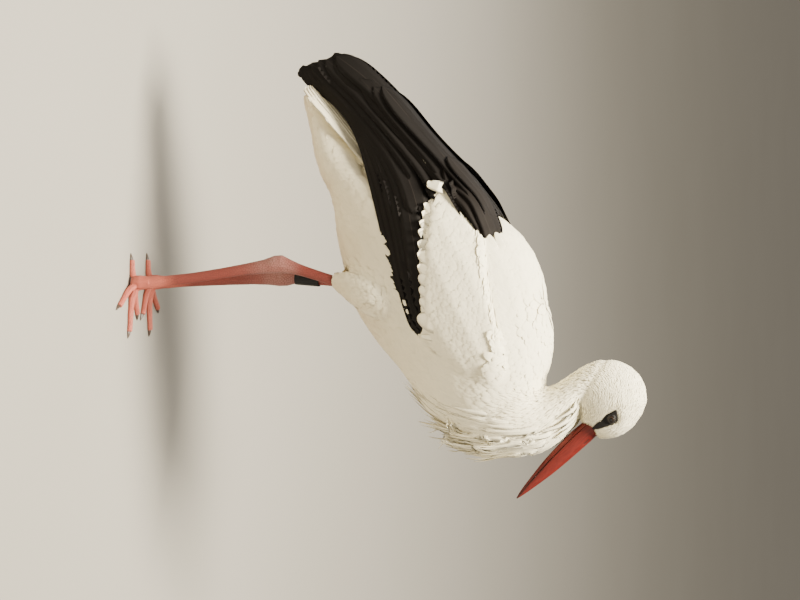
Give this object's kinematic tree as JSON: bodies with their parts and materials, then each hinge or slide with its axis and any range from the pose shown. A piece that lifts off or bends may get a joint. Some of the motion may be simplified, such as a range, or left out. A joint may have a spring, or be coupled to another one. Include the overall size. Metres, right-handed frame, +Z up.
{
  "type": "white stork model",
  "caption": "Life-size white stork standing on both legs, neck drawn in, bill pointing down and forward, wings folded, with a plain ring above the left heel.",
  "frame": {"origin": "on the floor, under the middle of the bird's length and width", "axes": "+Z up, +X the way the bird faces, -Y its right side"},
  "size_m": [0.7063, 0.2042, 0.8239],
  "materials": {
    "white_plumage": "soft matt white feathers, creamy and slightly soiled below",
    "black_plumage": "black flight feathers with a faint brown and green sheen",
    "bill": "satin deep red horn, darker along the mouth and nostril",
    "leg_skin": "dry scaled skin, brick red, dusty at the heel, coral on the toes",
    "claw_horn": "dark worn horn",
    "eye": "dark brown iris and black pupil under a clear wet surface",
    "ring": "plain black plastic, scuffed, without lettering"
  },
  "bodies": {
    "root": {"trunk": "white_plumage", "neck": "white_plumage", "head": "white_plumage", "tail": "white_plumage", "wing_right_coverts": "white_plumage", "wing_right_tertials": "black_plumage", "wing_right_quills": "black_plumage", "thigh_right": "white_plumage", "tibia_right": "leg_skin", "tarsus_right": "leg_skin", "foot_right": "leg_skin", "claw_right_1": "claw_horn", "claw_right_2": "claw_horn", "claw_right_3": "claw_horn", "claw_right_4": "claw_horn", "eye_right": "eye", "wing_left_coverts": "white_plumage", "wing_left_tertials": "black_plumage", "wing_left_quills": "black_plumage", "thigh_left": "white_plumage", "tibia_left": "leg_skin", "tarsus_left": "leg_skin", "foot_left": "leg_skin", "claw_left_1": "claw_horn", "claw_left_2": "claw_horn", "claw_left_3": "claw_horn", "claw_left_4": "claw_horn", "eye_left": "eye", "bill_upper": "bill", "bill_lower": "bill", "leg_ring": "ring"}
  },
  "joints": []
}
